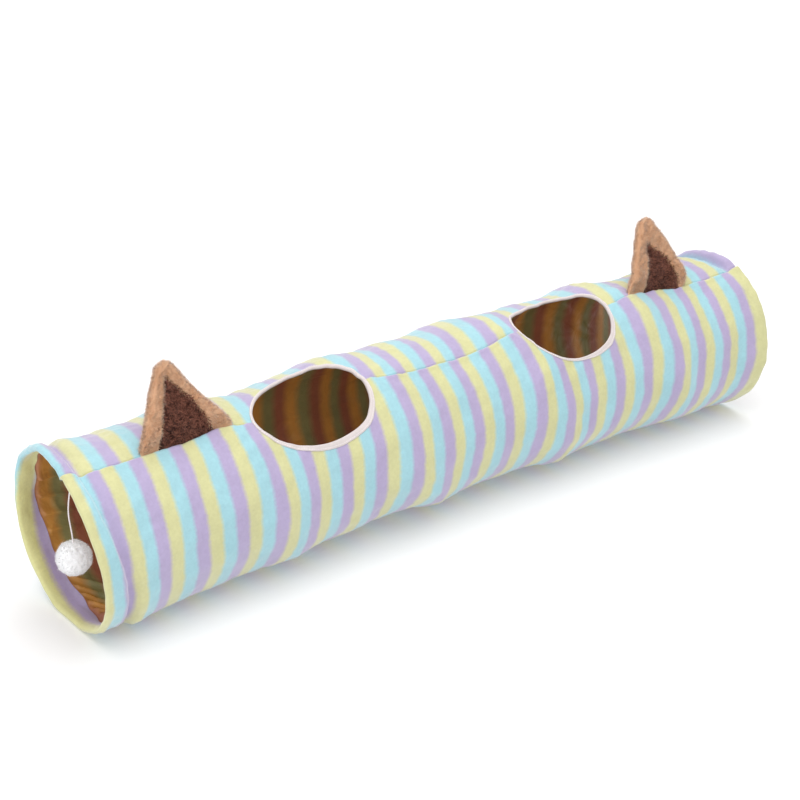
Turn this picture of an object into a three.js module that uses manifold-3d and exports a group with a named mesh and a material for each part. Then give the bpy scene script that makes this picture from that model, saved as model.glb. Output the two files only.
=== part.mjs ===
// A straight play tunnel for a cat: striped plush over a sewn-in spiral, a film lining, two bound
// holes in the top, an ear of plush beside each mouth, and a pompom that hangs on a string.
// Millimetres. +X runs along the tunnel, +Z is up, and the floor is z = 0 under the middle.
import * as THREE from "three";
import { mergeVertices } from "three/addons/utils/BufferGeometryUtils.js";
import Module from "manifold-3d";

const wasm = await Module();
wasm.setup();

// Driving dimensions of the tunnel
const HALF_LENGTH = 608;
const RING_RADIUS = 126.5;
const AXIS_HEIGHT = 124;
const BOW = 11;
const BOW_SHIFT = 5.4;
const CLOTH = 2.5;
const HEM = 5.5;
const HEM_DEPTH = 36;
const FILM = 1;
const GAP = 0.3;
const HEM_CLEAR = 0.8;
const HEM_STEP = 1;
const NOSE = { reach: 5, inset: 1.2, rise: 0.4 };
const WIRE_INSET = 6;

// Each end ring leans outwards at one angle, and the left one is also warped
const RIMS = {
  left: { lean: 20, highestDeg: 27, warp: 6.6 },
  right: { lean: 8.5, highestDeg: -90, warp: 0 },
};

// Resolution of the cloth
const ANGLE_STEPS = 26;
const LENGTH_STEPS = 40;
const OUTLINE_STEPS = 44;
const MERGE = 1e-4;

// Places of the sections beside the left crease and the right hem, as shares of each one's distance
// from its rim, and where the evenly spaced ones between them begin and end
const CREASE_SHARES = { beside: [0.35, 0.7, 1, 1.35], beyond: 1.9 };
const HEM_SHARES = { beside: [0.75, 0.35], beyond: 1.2 };

// The spiral under the cloth, one row a turn: where it crosses the back of the top,
// the front and the underside of the front
const CROSSING_DEG = { top: -22, front: 84, under: 144 };
const TURNS = [
  { top: -600, front: -571, under: -537 },
  { top: -385, front: -325, under: -277 },
  { top: -148, front: -89, under: -21 },
  { top: 90, front: 186, under: 212 },
  { top: 338, front: 415, under: 454 },
  { top: 546, front: 600, under: 640 },
];

// How far the cloth draws in between two turns, along the underside and along the top
const SAGS = [
  { x: -600, under: 1, top: 8 },
  { x: -450, under: 1.5, top: 8.5 },
  { x: -290, under: 4, top: 13 },
  { x: -150, under: 9.5, top: 8 },
  { x: -40, under: 9.5, top: 5.5 },
  { x: 110, under: 9.5, top: 6 },
  { x: 235, under: 8, top: 9 },
  { x: 330, under: 7, top: 10 },
  { x: 440, under: 4.5, top: 13 },
  { x: 560, under: 4, top: 6 },
];
const SAG_TOP_DEG = -29;
const SAG_SHAPE = { afterReach: 48, afterPower: 1.4, beforeReach: 40, beforePower: 2.2 };

// Single swellings of the cloth: behind the left cuff, and a pinch beside the right hole
const SWELLINGS = [
  { x: -536, deg: 142, height: 6, alongX: 16, alongDeg: 20 },
  { x: 212, deg: -29, height: 5, alongX: 14, alongDeg: 14 },
];

// The crease behind the left cuff
const CREASE = { atTop: 23, growth: 7, depth: 2.5, reach: 6 };

// The two holes: a centre on the cloth and the points of a smooth closed edge round it
const HOLES = {
  left: {
    x: -226,
    deg: 21.5,
    edge: [
      { x: -87, deg: 0 }, { x: -70, deg: 23 }, { x: -30, deg: 34 }, { x: 24, deg: 35 },
      { x: 66, deg: 25 }, { x: 86, deg: 3 }, { x: 76, deg: -17 }, { x: 34, deg: -34 },
      { x: -14, deg: -31 }, { x: -58, deg: -20 },
    ],
  },
  right: {
    x: 243,
    deg: 26,
    edge: [
      { x: -81, deg: -8 }, { x: -76, deg: 12 }, { x: -55, deg: 23 }, { x: -22, deg: 30 },
      { x: 32, deg: 30 }, { x: 64, deg: 16 }, { x: 80, deg: -8 }, { x: 66, deg: -25 },
      { x: 26, deg: -31 }, { x: -24, deg: -30 }, { x: -64, deg: -25 },
    ],
  },
};
const MEAN_SAG = 8;
const PLUG_REACH = 25;
const BINDING = { onCloth: 6.5, inHole: 2, thickness: 1.5, clear: 0.85, edgeClear: 0.6 };

// The two ears: where the base is sewn, how it turns, and the outline in its own plane
const EARS = {
  left: {
    base: [-424, -49.4, 234.8],
    along: [1, 0.014, 0.017],
    up: [-0.021, 0.327, 0.945],
    outline: [
      { up: -30, left: -73, right: 78 }, { up: 0, left: -71, right: 71 }, { up: 24, left: -65, right: 57 },
      { up: 48, left: -57, right: 43 }, { up: 74, left: -45, right: 23 }, { up: 94, left: -33, right: 7 },
      { up: 103, left: -23, right: -1 }, { up: 107, left: -15, right: -6 },
    ],
    inner: [
      { up: -30, left: -54, right: 57 }, { up: 0, left: -44, right: 37 }, { up: 45, left: -29, right: 11 },
      { up: 88, left: -14, right: -9 },
    ],
  },
  right: {
    base: [435, -38.4, 239],
    along: [0.994, -0.075, -0.075],
    up: [0.1, 0.427, 0.899],
    outline: [
      { up: -30, left: -66, right: 62 }, { up: 0, left: -63, right: 66 }, { up: 23, left: -55, right: 66 },
      { up: 44, left: -47, right: 54 }, { up: 70, left: -37, right: 31 }, { up: 88, left: -28, right: 15 },
      { up: 104, left: -19, right: 7 }, { up: 112, left: -8, right: 1 },
    ],
    inner: [
      { up: -30, left: -35, right: 54 }, { up: 0, left: -27, right: 39 }, { up: 36, left: -17, right: 15 },
      { up: 69, left: -9, right: -5 },
    ],
  },
};
const EAR = { thickness: 13, curl: 9, tipPinch: 0.5 };
const PANEL = { floor: 0.5, thickness: 3.6, tip: 0.9, openFront: 20 };
const EAR_COLUMNS = [-1, -0.9, -0.45, 0.2, 0.85];

// The pompom and its string
const POMPOM = { x: -574, y: -5.5, z: 93.8, core: 17, radius: 25, detail: 2 };
const STRING = { radius: 1, sides: 8, sway: 3.5, phase: 0.6, steps: 12, root: 2, clear: 1.2 };

const FINISHES = {
  plush: { color: 0xb4cfe0, roughness: 0.95 },
  film: { color: 0x8a5a26, roughness: 0.35 },
  binding: { color: 0xf2eae6, roughness: 0.85 },
  ear: { color: 0xd0a27a, roughness: 0.95 },
  earInner: { color: 0x5c3830, roughness: 0.95 },
  yarn: { color: 0xf7f7f7, roughness: 0.95 },
  string: { color: 0xf2eeec, roughness: 0.8 },
};

const rad = THREE.MathUtils.degToRad;

// Value at x of one column of a table with rows at rising x, eased between the rows
function fromTable(rows, column, x) {
  if (x <= rows[0].x) {
    return rows[0][column];
  }
  for (let i = 1; i < rows.length; i += 1) {
    if (x <= rows[i].x) {
      const t = (x - rows[i - 1].x) / (rows[i].x - rows[i - 1].x);
      return THREE.MathUtils.lerp(rows[i - 1][column], rows[i][column], t * t * (3 - 2 * t));
    }
  }
  return rows[rows.length - 1][column];
}

// The spiral as one curve of x over the angle turned since its first crossing of the top
function spiralKnots() {
  const knots = [];
  TURNS.forEach((turn, index) => {
    for (const side of ["top", "front", "under"]) {
      knots.push({ turned: CROSSING_DEG[side] + 360 * index, x: turn[side] });
    }
  });
  return knots;
}

const SPIRAL = spiralKnots();

function slope(index) {
  const before = SPIRAL[Math.max(index - 1, 0)];
  const after = SPIRAL[Math.min(index + 1, SPIRAL.length - 1)];
  return (after.x - before.x) / (after.turned - before.turned);
}

function spiralX(turned) {
  const last = SPIRAL.length - 1;
  let i = 1;
  while (i < last && turned > SPIRAL[i].turned) {
    i += 1;
  }
  const a = SPIRAL[i - 1];
  const b = SPIRAL[i];
  const span = b.turned - a.turned;
  const t = (turned - a.turned) / span;
  const startWeight = (1 + 2 * t) * (1 - t) * (1 - t);
  const startPull = t * (1 - t) * (1 - t) * span * slope(i - 1);
  const endPull = t * t * (t - 1) * span * slope(i);
  return startWeight * a.x + (1 - startWeight) * b.x + startPull + endPull;
}

// Distance of each rim from the middle of the tunnel
function rimX(side, deg) {
  const rim = side < 0 ? RIMS.left : RIMS.right;
  const leant = rim.lean * (1 - Math.cos(rad(deg - rim.highestDeg))) / 2;
  const warped = rim.warp * (1 - Math.sin(rad(2 * deg))) / 2;
  return side * (HALF_LENGTH - leant - warped);
}

// Sideways place of the tunnel's axis
function axisY(x) {
  return BOW * (1 - (x / HALF_LENGTH) ** 2) - BOW_SHIFT;
}

// Every place along X where wire lies under the cloth at one angle
function ridges(deg) {
  const found = [rimX(-1, deg) + WIRE_INSET, rimX(1, deg) - WIRE_INSET];
  for (let turn = -1; turn <= TURNS.length; turn += 1) {
    const turned = deg + 360 * turn;
    if (turned >= SPIRAL[0].turned && turned <= SPIRAL[SPIRAL.length - 1].turned) {
      const x = spiralX(turned);
      if (x > found[0] && x < found[1]) {
        found.push(x);
      }
    }
  }
  return found.sort((a, b) => a - b);
}

// 0 on the wire and 1 where the cloth has drawn in fully between two turns
function drawnIn(x, deg) {
  const at = ridges(deg);
  let next = 1;
  while (next < at.length - 1 && x > at[next]) {
    next += 1;
  }
  const after = Math.max(x - at[next - 1], 0);
  const before = Math.max(at[next] - x, 0);
  const pastOne = (after / SAG_SHAPE.afterReach) ** SAG_SHAPE.afterPower;
  const beforeNext = (before / SAG_SHAPE.beforeReach) ** SAG_SHAPE.beforePower;
  return (1 - Math.exp(-pastOne)) * (1 - Math.exp(-beforeNext));
}

function bell(value, reach) {
  return Math.exp(-((value / reach) ** 2));
}

// Smallest signed turn between two angles
function turnBetween(deg, other) {
  return ((deg - other + 540) % 360) - 180;
}

function creaseDistance(deg) {
  return CREASE.atTop + CREASE.growth * (1 - Math.cos(rad(deg)));
}

// Outer radius of the cloth; angle 0 is the top and 90 the front
function clothRadius(x, deg) {
  const towardsTop = (1 + Math.cos(rad(deg - SAG_TOP_DEG))) / 2;
  const sag = THREE.MathUtils.lerp(fromTable(SAGS, "under", x), fromTable(SAGS, "top", x), towardsTop);
  let radius = RING_RADIUS - sag * drawnIn(x, deg);
  for (const swelling of SWELLINGS) {
    const across = bell(turnBetween(deg, swelling.deg), swelling.alongDeg);
    radius += swelling.height * bell(x - swelling.x, swelling.alongX) * across;
  }
  const fromCrease = x - rimX(-1, deg) - creaseDistance(deg);
  return radius - CREASE.depth * bell(fromCrease, CREASE.reach);
}

// A point on the cloth or under it; the underside is pressed flat on the floor
function clothPoint(x, deg, depth = 0) {
  const radius = clothRadius(x, deg) - depth;
  const z = AXIS_HEIGHT + radius * Math.cos(rad(deg));
  return new THREE.Vector3(x, axisY(x) - radius * Math.sin(rad(deg)), Math.max(z, depth));
}

// Closed surface over rows of points: each row is a loop, and the rows join into a ring,
// or stand in a stack that is closed at both ends. In a ring each quad is cut at its row's
// lower x, so that two faces over the same places have the same creases
function surface(rows, stacked = false) {
  const count = rows[0].length;
  const position = [];
  const push = (...points) => points.forEach((point) => position.push(point.x, point.y, point.z));
  const joins = stacked ? rows.length - 1 : rows.length;
  for (let j = 0; j < joins; j += 1) {
    const row = rows[j];
    const next = rows[(j + 1) % rows.length];
    for (let k = 0; k < count; k += 1) {
      const l = (k + 1) % count;
      if (!stacked && row[l].x >= row[k].x) {
        push(row[k], row[l], next[l]);
        push(row[k], next[l], next[k]);
      } else {
        push(row[k], row[l], next[k]);
        push(row[l], next[l], next[k]);
      }
    }
  }
  if (stacked) {
    for (const row of [rows[0], [...rows[rows.length - 1]].reverse()]) {
      const middle = row.reduce((sum, point) => sum.add(point), new THREE.Vector3());
      middle.divideScalar(count);
      for (let k = 0; k < count; k += 1) {
        push(row[(k + 1) % count], row[k], middle);
      }
    }
  }
  const geometry = new THREE.BufferGeometry();
  geometry.setAttribute("position", new THREE.Float32BufferAttribute(position, 3));
  return geometry;
}

// Solids for joining and cutting
function toSolid(geometry) {
  const bare = new THREE.BufferGeometry();
  bare.setAttribute("position", geometry.getAttribute("position"));
  if (geometry.index) {
    bare.setIndex(geometry.index);
  }
  const merged = mergeVertices(bare, MERGE);
  return new wasm.Manifold(new wasm.Mesh({
    numProp: 3,
    vertProperties: new Float32Array(merged.getAttribute("position").array),
    triVerts: new Uint32Array(merged.index.array),
  }));
}

function toGeometry(solid) {
  const mesh = solid.getMesh();
  const geometry = new THREE.BufferGeometry();
  geometry.setAttribute("position", new THREE.BufferAttribute(mesh.vertProperties, 3));
  geometry.setIndex(new THREE.BufferAttribute(mesh.triVerts, 1));
  return geometry;
}

// Angles of the cloth's sections, placed so that one flat strip lies under the axis
function sectionAngles() {
  return Array.from({ length: ANGLE_STEPS }, (_, j) => (j + 0.5) * 360 / ANGLE_STEPS);
}

// Evenly spaced places along the tunnel between the two hems, at one angle
function middleStations(deg) {
  const first = rimX(-1, deg) + CREASE_SHARES.beyond * creaseDistance(deg);
  const last = rimX(1, deg) - HEM_SHARES.beyond * HEM_DEPTH;
  return Array.from({ length: LENGTH_STEPS + 1 }, (_, i) => first + (last - first) * i / LENGTH_STEPS);
}

// Places along the outer face of the cloth, closer together at the crease and the rims
function outerStations(deg) {
  const left = rimX(-1, deg);
  const right = rimX(1, deg);
  const crease = creaseDistance(deg);
  const atCrease = CREASE_SHARES.beside.map((share) => left + share * crease);
  const atHem = HEM_SHARES.beside.map((share) => right - share * HEM_DEPTH);
  return [left + NOSE.reach, ...atCrease, ...middleStations(deg), ...atHem, right - NOSE.reach];
}

// The cloth's section at one angle: outer face, rolled rim, turned-in hem and inner face
function clothSection(deg) {
  const left = rimX(-1, deg);
  const right = rimX(1, deg);
  const inner = middleStations(deg).reverse();
  const at = (x, depth) => clothPoint(x, deg, depth);
  return [
    ...outerStations(deg).map((x) => at(x, 0)),
    at(right - NOSE.inset, NOSE.inset),
    at(right, HEM / 2 + NOSE.rise),
    at(right - NOSE.inset, HEM - NOSE.rise),
    at(right - NOSE.reach, HEM),
    at(right - HEM_DEPTH + HEM_STEP, HEM),
    at(right - HEM_DEPTH, CLOTH),
    at(right - HEM_DEPTH - HEM_CLEAR, CLOTH),
    ...inner.map((x) => at(x, CLOTH)),
    at(left + HEM_DEPTH + HEM_CLEAR, CLOTH),
    at(left + HEM_DEPTH, CLOTH),
    at(left + HEM_DEPTH - HEM_STEP, HEM),
    at(left + NOSE.reach, HEM),
    at(left + NOSE.inset, HEM - NOSE.rise),
    at(left, HEM / 2 + NOSE.rise),
    at(left + NOSE.inset, NOSE.inset),
  ];
}

// The lining's section at one angle, just inside the cloth and between the two hems
function liningSection(deg) {
  const inset = HEM_DEPTH + HEM_CLEAR;
  const places = [rimX(-1, deg) + inset, ...middleStations(deg), rimX(1, deg) - inset];
  const outer = places.map((x) => clothPoint(x, deg, CLOTH + GAP));
  const inner = places.reverse().map((x) => clothPoint(x, deg, CLOTH + GAP + FILM));
  return [...outer, ...inner];
}

function sweptWall(section) {
  return toSolid(surface(sectionAngles().reverse().map((deg) => section(deg))));
}

// Everything inside the cloth's outer face and a gap beyond it
function filledTunnel() {
  const angles = sectionAngles();
  const columns = angles.map((deg) => outerStations(deg).map((x) => clothPoint(x, deg, -GAP)));
  const rows = columns[0].map((_, i) => columns.map((column) => column[i]));
  return toSolid(surface(rows, true));
}

// Radius of the cloth as it is built, in flat facets
function facetRadius(x, deg) {
  const step = 360 / ANGLE_STEPS;
  const before = (Math.floor(deg / step - 0.5) + 0.5) * step;
  const [row, next] = [before, before + step].map((angle) => {
    return outerStations(angle).map((place) => clothPoint(place, angle));
  });
  const origin = new THREE.Vector3(x, axisY(x), AXIS_HEIGHT);
  const outwards = new THREE.Vector3(0, -Math.sin(rad(deg)), Math.cos(rad(deg)));
  const ray = new THREE.Ray(origin, outwards);
  const hit = new THREE.Vector3();
  for (let k = 1; k < row.length; k += 1) {
    const met = ray.intersectTriangle(row[k - 1], row[k], next[k - 1], false, hit)
      || ray.intersectTriangle(row[k], next[k], next[k - 1], false, hit);
    if (met) {
      return hit.distanceTo(origin);
    }
  }
  return clothRadius(x, deg);
}

function facetPoint(place, depth) {
  const radius = facetRadius(place.x, place.deg) - depth;
  const y = axisY(place.x) - radius * Math.sin(rad(place.deg));
  return new THREE.Vector3(place.x, y, AXIS_HEIGHT + radius * Math.cos(rad(place.deg)));
}

// A hole's edge as evenly spaced places on the cloth, moved outwards by a margin
function holeEdge(hole, margin = 0) {
  const arc = rad(1) * (RING_RADIUS - MEAN_SAG);
  const points = hole.edge.map((p) => new THREE.Vector3(hole.x + p.x, (hole.deg + p.deg) * arc, 0));
  const curve = new THREE.CatmullRomCurve3(points, true, "centripetal");
  const places = [];
  for (let k = 0; k < OUTLINE_STEPS; k += 1) {
    const point = curve.getPointAt(k / OUTLINE_STEPS);
    const tangent = curve.getTangentAt(k / OUTLINE_STEPS);
    places.push({ x: point.x - tangent.y * margin, deg: (point.y + tangent.x * margin) / arc });
  }
  return places;
}

// A plug that cuts the hole through cloth and lining
function holePlug(hole) {
  const places = holeEdge(hole);
  const layer = (depth) => places.map((p) => clothPoint(p.x, p.deg, depth));
  return toSolid(surface([layer(PLUG_REACH), layer(-PLUG_REACH)], true));
}

// The binding: tape folded over the edge, from the outer face round to the lining
function bindingGeometry(hole) {
  const lining = CLOTH + GAP + FILM + BINDING.clear;
  const onCloth = holeEdge(hole, BINDING.onCloth);
  const atEdge = holeEdge(hole, -BINDING.edgeClear);
  const inHole = holeEdge(hole, -BINDING.inHole);
  const rows = onCloth.map((place, k) => [
    facetPoint(place, -BINDING.clear - BINDING.thickness),
    facetPoint(place, -BINDING.clear),
    facetPoint(atEdge[k], -BINDING.clear),
    facetPoint(atEdge[k], lining),
    facetPoint(place, lining),
    facetPoint(place, lining + BINDING.thickness),
    facetPoint(inHole[k], lining + BINDING.thickness),
    facetPoint(inHole[k], -BINDING.clear - BINDING.thickness),
  ]);
  return surface(rows);
}

// An ear's place in space from its own width, height and depth; the sides curl forwards
function earPlacer(ear) {
  const base = new THREE.Vector3(...ear.base);
  const along = new THREE.Vector3(...ear.along).normalize();
  const up = new THREE.Vector3(...ear.up).normalize();
  const front = new THREE.Vector3().crossVectors(along, up).normalize();
  const widest = ear.outline[0];
  const reach = (widest.right - widest.left) / 2;
  return (across, height, depth) => {
    const curled = depth + EAR.curl * (across / reach) ** 2;
    return base.clone()
      .addScaledVector(along, across)
      .addScaledVector(up, height)
      .addScaledVector(front, curled);
  };
}

// A padded triangle: each row of its table is a rounded flat section
function outerPad(ear) {
  const place = earPlacer(ear);
  const half = EAR.thickness / 2;
  return toSolid(surface(ear.outline.map((row, index) => {
    const centre = (row.left + row.right) / 2;
    const width = (row.right - row.left) / 2;
    const squeeze = index === ear.outline.length - 1 ? EAR.tipPinch : 1;
    const at = (share, depth) => place(centre + width * share, row.up, depth * squeeze);
    const loop = EAR_COLUMNS.map((share, k) => at(share, k === 0 ? 0 : half));
    EAR_COLUMNS.forEach((share, k) => loop.push(at(-share, k === 0 ? 0 : -half)));
    return loop;
  }), true));
}

// The panel set into an ear's front, or with no shrink the pocket that holds it
function innerPad(ear, back, front, shrink = 0) {
  const place = earPlacer(ear);
  return toSolid(surface(ear.inner.map((row, index) => {
    const isTip = shrink > 0 && index === ear.inner.length - 1;
    const up = isTip ? row.up - PANEL.tip : row.up;
    const left = row.left + shrink;
    const right = row.right - shrink;
    const middle = (left + right) / 2;
    return [
      place(left, up, front), place(middle, up, front), place(right, up, front),
      place(right, up, back), place(middle, up, back), place(left, up, back),
    ];
  }), true));
}

function earSolids(ear, body) {
  const pocket = innerPad(ear, PANEL.floor, PANEL.openFront);
  const floor = PANEL.floor + GAP;
  return {
    outer: outerPad(ear).subtract(pocket).subtract(body),
    inner: innerPad(ear, floor, floor + PANEL.thickness, GAP).subtract(body),
  };
}

// A ball whose every face carries a lock of yarn that narrows to its tip
function pompomGeometry() {
  const ball = new THREE.IcosahedronGeometry(POMPOM.core, POMPOM.detail);
  const source = ball.getAttribute("position");
  const top = new THREE.Vector3(-1, (1 + Math.sqrt(5)) / 2, 0).normalize();
  const turn = new THREE.Quaternion().setFromUnitVectors(top, new THREE.Vector3(0, 0, 1));
  const position = [];
  for (let i = 0; i < source.count; i += 3) {
    const corners = [0, 1, 2].map((k) => {
      return new THREE.Vector3().fromBufferAttribute(source, i + k).applyQuaternion(turn);
    });
    const tip = corners[0].clone().add(corners[1]).add(corners[2]).setLength(POMPOM.radius);
    for (let k = 0; k < 3; k += 1) {
      for (const point of [corners[k], corners[(k + 1) % 3], tip]) {
        position.push(point.x, point.y, point.z);
      }
    }
  }
  const geometry = new THREE.BufferGeometry();
  geometry.setAttribute("position", new THREE.Float32BufferAttribute(position, 3));
  return geometry;
}

// The string, from the hem at the top of the left mouth to the middle of the pompom's top
function stringGeometry() {
  const hem = clothPoint(POMPOM.x, 0, HEM + STRING.clear);
  const end = POMPOM.z + POMPOM.core + STRING.root;
  const points = [];
  for (let i = 0; i <= STRING.steps; i += 1) {
    const t = i / STRING.steps;
    const sway = STRING.sway * Math.sin(Math.PI * t) * Math.sin(2 * Math.PI * t + STRING.phase);
    points.push(new THREE.Vector3(POMPOM.x + sway, POMPOM.y, THREE.MathUtils.lerp(hem.z, end, t)));
  }
  const section = new THREE.Shape();
  for (let k = 0; k < STRING.sides; k += 1) {
    const turn = 2 * Math.PI * k / STRING.sides;
    const method = k === 0 ? "moveTo" : "lineTo";
    section[method](STRING.radius * Math.cos(turn), STRING.radius * Math.sin(turn));
  }
  section.closePath();
  return new THREE.ExtrudeGeometry(section, {
    steps: 2 * STRING.steps,
    extrudePath: new THREE.CatmullRomCurve3(points),
  });
}

function node(name, geometry, finish) {
  const material = new THREE.MeshStandardMaterial({ ...finish, metalness: 0 });
  const mesh = new THREE.Mesh(geometry, material);
  mesh.name = name;
  return mesh;
}

// Assembly
const tunnel = new THREE.Group();

let cloth = sweptWall(clothSection);
let lining = sweptWall(liningSection);
for (const hole of Object.values(HOLES)) {
  cloth = cloth.subtract(holePlug(hole));
  lining = lining.subtract(holePlug(hole));
}
tunnel.add(node("tunnel_cloth", toGeometry(cloth), FINISHES.plush));
tunnel.add(node("tunnel_lining", toGeometry(lining), FINISHES.film));

for (const [side, hole] of Object.entries(HOLES)) {
  tunnel.add(node(`hole_binding_${side}`, bindingGeometry(hole), FINISHES.binding));
}

const filled = filledTunnel();
for (const [side, ear] of Object.entries(EARS)) {
  const { outer, inner } = earSolids(ear, filled);
  tunnel.add(node(`ear_${side}_outer`, toGeometry(outer), FINISHES.ear));
  tunnel.add(node(`ear_${side}_inner`, toGeometry(inner), FINISHES.earInner));
}

const pompom = node("pompom", pompomGeometry(), FINISHES.yarn);
pompom.position.set(POMPOM.x, POMPOM.y, POMPOM.z);
tunnel.add(pompom);
tunnel.add(node("pompom_string", stringGeometry(), FINISHES.string));

export default tunnel;
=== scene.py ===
"""Looks of a straight play tunnel for a cat, built around its fixed frame.

Metres. +X runs along the tunnel, -Y is the side of the holes and ears, and +Z is up. Angles round
the tunnel are in degrees: 0 is the top and 90 the front.
"""

import math

import bpy
import numpy as np
from mathutils import Matrix, Vector


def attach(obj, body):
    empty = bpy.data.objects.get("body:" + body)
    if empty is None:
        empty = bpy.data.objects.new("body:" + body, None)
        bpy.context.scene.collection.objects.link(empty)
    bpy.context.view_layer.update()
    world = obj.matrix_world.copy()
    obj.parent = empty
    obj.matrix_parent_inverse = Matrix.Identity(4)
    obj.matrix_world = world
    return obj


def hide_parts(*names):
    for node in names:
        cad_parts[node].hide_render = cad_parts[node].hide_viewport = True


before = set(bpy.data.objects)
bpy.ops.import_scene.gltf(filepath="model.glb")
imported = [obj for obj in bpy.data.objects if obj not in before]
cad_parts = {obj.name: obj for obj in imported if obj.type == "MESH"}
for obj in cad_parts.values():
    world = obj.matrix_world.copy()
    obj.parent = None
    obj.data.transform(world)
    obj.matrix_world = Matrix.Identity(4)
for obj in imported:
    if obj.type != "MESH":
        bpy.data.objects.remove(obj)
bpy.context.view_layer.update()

# The tunnel's driving sizes, as in the frame
HALF_LENGTH = 0.608
RING_RADIUS = 0.1265
AXIS_HEIGHT = 0.124
BOW = 0.011
BOW_SHIFT = 0.0054
HEM = 0.0055
WIRE_INSET = 0.006

# Each end ring leans outwards at one angle, and the left one is also warped
RIMS = {
    -1: {"lean": 0.020, "highest_deg": 27.0, "warp": 0.0066},
    1: {"lean": 0.0085, "highest_deg": -90.0, "warp": 0.0},
}

# The spiral under the cloth, one row a turn: where it crosses the back of the top, the front and
# the underside of the front
CROSSING_DEG = (-22.0, 84.0, 144.0)
TURNS = (
    (-0.600, -0.571, -0.537),
    (-0.385, -0.325, -0.277),
    (-0.148, -0.089, -0.021),
    (0.090, 0.186, 0.212),
    (0.338, 0.415, 0.454),
    (0.546, 0.600, 0.640),
)

# How far the cloth draws in between two turns: x, along the underside, along the top
SAGS = np.array((
    (-0.600, 0.0010, 0.0080),
    (-0.450, 0.0015, 0.0085),
    (-0.290, 0.0040, 0.0130),
    (-0.150, 0.0095, 0.0080),
    (-0.040, 0.0095, 0.0055),
    (0.110, 0.0095, 0.0060),
    (0.235, 0.0080, 0.0090),
    (0.330, 0.0070, 0.0100),
    (0.440, 0.0045, 0.0130),
    (0.560, 0.0040, 0.0060),
))
SAG_TOP_DEG = -29.0
SAG_AFTER = (0.048, 1.4)
SAG_BEFORE = (0.040, 2.2)

# Single swellings of the cloth: x, degrees, height, reach along X, reach in degrees
SWELLINGS = (
    (-0.536, 142.0, 0.006, 0.016, 20.0),
    (0.212, -29.0, 0.005, 0.014, 14.0),
)

# Creases beside the two rims: side, distance from the rim at the top, how much further off it is
# from CREASE_LOW degrees on, reach towards the rim and away from it, then degrees and depths
CREASE_LOW = 130.0
CREASES = (
    (-1, 0.022, 0.0150, 0.0042, 0.0110,
     (-95, -45, -15, 30, 90, 130, 165, 215),
     (0.0022, 0.0082, 0.0090, 0.0060, 0.0085, 0.0110, 0.0080, 0.0022)),
    (1, 0.0195, 0.000, 0.0045, 0.0270,
     (-100, -60, -5, 10, 21, 34, 180), (0.0005, 0.0070, 0.0070, 0.0060, 0.0025, 0.0004, 0.0004)),
    (1, 0.0195, 0.000, 0.0045, 0.0070,
     (-100, -60, -5, 10, 21, 34, 180), (0.0005, 0.0085, 0.0085, 0.0070, 0.0030, 0.0004, 0.0004)),
)

# The long seam, where the two edges of the cloth meet: x, degrees
SEAM = np.array((
    (-0.608, 20.5), (-0.575, 23.8), (-0.460, 23.4), (-0.390, 22.8), (-0.335, 25.5), (-0.220, 22.5),
    (-0.130, 21.5), (-0.085, 24.5), (-0.020, 25.4), (0.060, 24.6), (0.140, 21.0), (0.240, 20.0),
    (0.340, 19.4), (0.400, 16.6), (0.440, 16.8), (0.475, 20.0), (0.540, 22.0), (0.608, 20.0),
))

# Where each yellow stripe begins, in three columns down the front, one underneath and one at the
# back edge of the seam. The other two colours share the rest of each repeat
STRIPE_DEG = np.array((26.0, 60.0, 90.0, 115.0, 382.0))
STRIPE_STARTS = np.array((
    (-0.672, -0.671, -0.667, -0.661, -0.697),
    (-0.612, -0.611, -0.607, -0.601, -0.637),
    (-0.558, -0.560, -0.557, -0.549, -0.582),
    (-0.496, -0.501, -0.502, -0.498, -0.523),
    (-0.436, -0.441, -0.442, -0.437, -0.464),
    (-0.380, -0.381, -0.380, -0.378, -0.407),
    (-0.326, -0.322, -0.320, -0.318, -0.357),
    (-0.266, -0.266, -0.266, -0.265, -0.296),
    (-0.207, -0.206, -0.209, -0.207, -0.237),
    (-0.148, -0.148, -0.149, -0.146, -0.178),
    (-0.087, -0.090, -0.092, -0.088, -0.117),
    (-0.034, -0.031, -0.032, -0.032, -0.067),
    (0.023, 0.024, 0.024, 0.023, -0.013),
    (0.080, 0.081, 0.081, 0.081, 0.043),
    (0.141, 0.141, 0.142, 0.142, 0.105),
    (0.185, 0.187, 0.194, 0.198, 0.151),
    (0.244, 0.242, 0.242, 0.244, 0.208),
    (0.302, 0.301, 0.299, 0.298, 0.262),
    (0.361, 0.359, 0.356, 0.355, 0.320),
    (0.427, 0.416, 0.413, 0.412, 0.383),
    (0.480, 0.469, 0.466, 0.465, 0.438),
    (0.525, 0.524, 0.521, 0.520, 0.488),
    (0.577, 0.574, 0.573, 0.572, 0.541),
    (0.655, 0.655, 0.655, 0.655, 0.602),
    (0.715, 0.715, 0.715, 0.715, 0.662),
))

# At the back the stripes bow towards +X, and near the left mouth they follow the rim underneath
SLACK_BEHIND = {"most": 0.010, "from": -0.60, "to": 0.58, "fades": 0.15}
RIM_FOLLOWED = {"to": -0.40, "fades": -0.20}

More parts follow.
